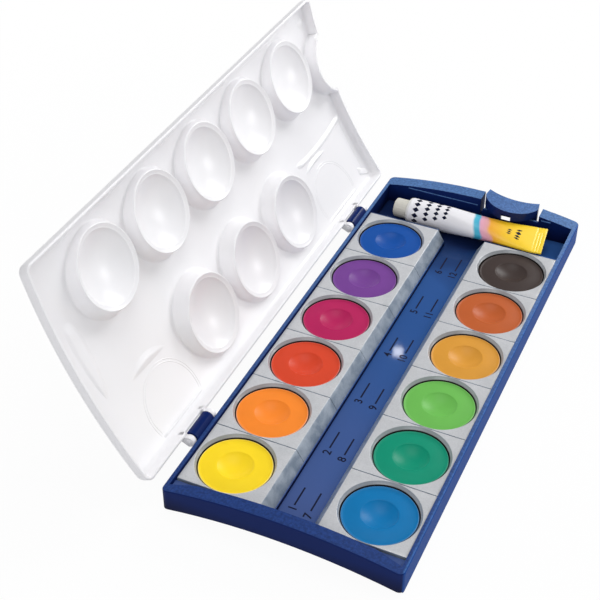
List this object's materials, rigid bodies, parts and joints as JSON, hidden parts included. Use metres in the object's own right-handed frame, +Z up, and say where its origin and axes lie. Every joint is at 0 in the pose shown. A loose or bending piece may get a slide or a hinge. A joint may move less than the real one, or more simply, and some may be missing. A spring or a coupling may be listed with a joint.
{
  "type": "gouache paint box",
  "caption": "Flat blue gouache paint box with two rows of square pans, a brush trough, a tube of white, a springy catch and a hinged translucent mixing lid.",
  "frame": {"origin": "middle of the footprint of the tray, on the table", "axes": "+X across the box from the hinge side to the free side, +Y along the box towards the catch, +Z up"},
  "size_m": [0.1505, 0.2406, 0.1015],
  "materials": {
    "tray_plastic": "satin moulded polystyrene, finely grained on the rims",
    "lid_plastic": "milky translucent polypropylene",
    "catch_plastic": "satin moulded plastic",
    "pan_plastic": "light silver-grey satin plastic",
    "paint_yellow": "pressed gouache, smooth with a soft sheen",
    "paint_orange": "pressed gouache, smooth with a soft sheen",
    "paint_red": "pressed gouache, smooth with a soft sheen",
    "paint_magenta": "pressed gouache, smooth with a soft sheen",
    "paint_violet": "pressed gouache, smooth with a soft sheen",
    "paint_ultramarine": "pressed gouache, smooth with a soft sheen",
    "paint_cyan": "pressed gouache, smooth with a soft sheen",
    "paint_turquoise": "pressed gouache, smooth with a soft sheen",
    "paint_green": "pressed gouache, smooth with a soft sheen",
    "paint_ochre": "pressed gouache, smooth with a soft sheen",
    "paint_sienna": "pressed gouache, smooth with a soft sheen",
    "paint_umber": "pressed gouache, smooth with a soft sheen",
    "tube_sleeve": "printed plastic laminate, white with a yellow end",
    "tube_shoulder": "white moulded plastic",
    "tube_cap": "ivory white fluted plastic"
  },
  "bodies": {
    "tray": {"base_tray": "tray_plastic"},
    "lid": {"lid": "lid_plastic"},
    "catch": {"lid_catch": "catch_plastic"},
    "pan_yellow": {"pan_yellow": "pan_plastic", "cake_yellow": "paint_yellow"},
    "pan_orange": {"pan_orange": "pan_plastic", "cake_orange": "paint_orange"},
    "pan_red": {"pan_red": "pan_plastic", "cake_red": "paint_red"},
    "pan_magenta": {"pan_magenta": "pan_plastic", "cake_magenta": "paint_magenta"},
    "pan_violet": {"pan_violet": "pan_plastic", "cake_violet": "paint_violet"},
    "pan_ultramarine": {"pan_ultramarine": "pan_plastic", "cake_ultramarine": "paint_ultramarine"},
    "pan_cyan": {"pan_cyan": "pan_plastic", "cake_cyan": "paint_cyan"},
    "pan_turquoise": {"pan_turquoise": "pan_plastic", "cake_turquoise": "paint_turquoise"},
    "pan_green": {"pan_green": "pan_plastic", "cake_green": "paint_green"},
    "pan_ochre": {"pan_ochre": "pan_plastic", "cake_ochre": "paint_ochre"},
    "pan_sienna": {"pan_sienna": "pan_plastic", "cake_sienna": "paint_sienna"},
    "pan_umber": {"pan_umber": "pan_plastic", "cake_umber": "paint_umber"},
    "tube": {"tube_body": "tube_sleeve", "tube_shoulder": "tube_shoulder"},
    "cap": {"tube_cap": "tube_cap"}
  },
  "joints": [
    {"name": "lid_hinge", "type": "hinge", "parent": "tray", "child": "lid", "pos_m": [-0.052, 0, 0.0102], "axis": [0, 1, 0], "range_deg": [0, 115.5]},
    {"name": "catch_tilt", "type": "hinge", "parent": "tray", "child": "catch", "pos_m": [0.0159, 0.1162, 0.005], "axis": [-1, 0, 0], "range_deg": [0, 7], "stiffness_Nm_per_rad": 0.05},
    {"name": "lift_yellow", "type": "slide", "parent": "tray", "child": "pan_yellow", "axis": [0, 0, -1], "range_m": [-0.012, 0]},
    {"name": "lift_orange", "type": "slide", "parent": "tray", "child": "pan_orange", "axis": [0, 0, -1], "range_m": [-0.012, 0]},
    {"name": "lift_red", "type": "slide", "parent": "tray", "child": "pan_red", "axis": [0, 0, -1], "range_m": [-0.012, 0]},
    {"name": "lift_magenta", "type": "slide", "parent": "tray", "child": "pan_magenta", "axis": [0, 0, -1], "range_m": [-0.012, 0]},
    {"name": "lift_violet", "type": "slide", "parent": "tray", "child": "pan_violet", "axis": [0, 0, -1], "range_m": [-0.012, 0]},
    {"name": "lift_ultramarine", "type": "slide", "parent": "tray", "child": "pan_ultramarine", "axis": [0, 0, -1], "range_m": [-0.012, 0]},
    {"name": "lift_cyan", "type": "slide", "parent": "tray", "child": "pan_cyan", "axis": [0, 0, -1], "range_m": [-0.012, 0]},
    {"name": "lift_turquoise", "type": "slide", "parent": "tray", "child": "pan_turquoise", "axis": [0, 0, -1], "range_m": [-0.012, 0]},
    {"name": "lift_green", "type": "slide", "parent": "tray", "child": "pan_green", "axis": [0, 0, -1], "range_m": [-0.012, 0]},
    {"name": "lift_ochre", "type": "slide", "parent": "tray", "child": "pan_ochre", "axis": [0, 0, -1], "range_m": [-0.012, 0]},
    {"name": "lift_sienna", "type": "slide", "parent": "tray", "child": "pan_sienna", "axis": [0, 0, -1], "range_m": [-0.012, 0]},
    {"name": "lift_umber", "type": "slide", "parent": "tray", "child": "pan_umber", "axis": [0, 0, -1], "range_m": [-0.012, 0]},
    {"name": "tube_lift", "type": "slide", "parent": "tray", "child": "tube", "axis": [0, 0.5, -0.866], "range_m": [-0.03, 0]},
    {"name": "cap_pull", "type": "slide", "parent": "tube", "child": "cap", "axis": [0.9994, -0.0279, 0.0227], "range_m": [-0.007, 0]}
  ]
}
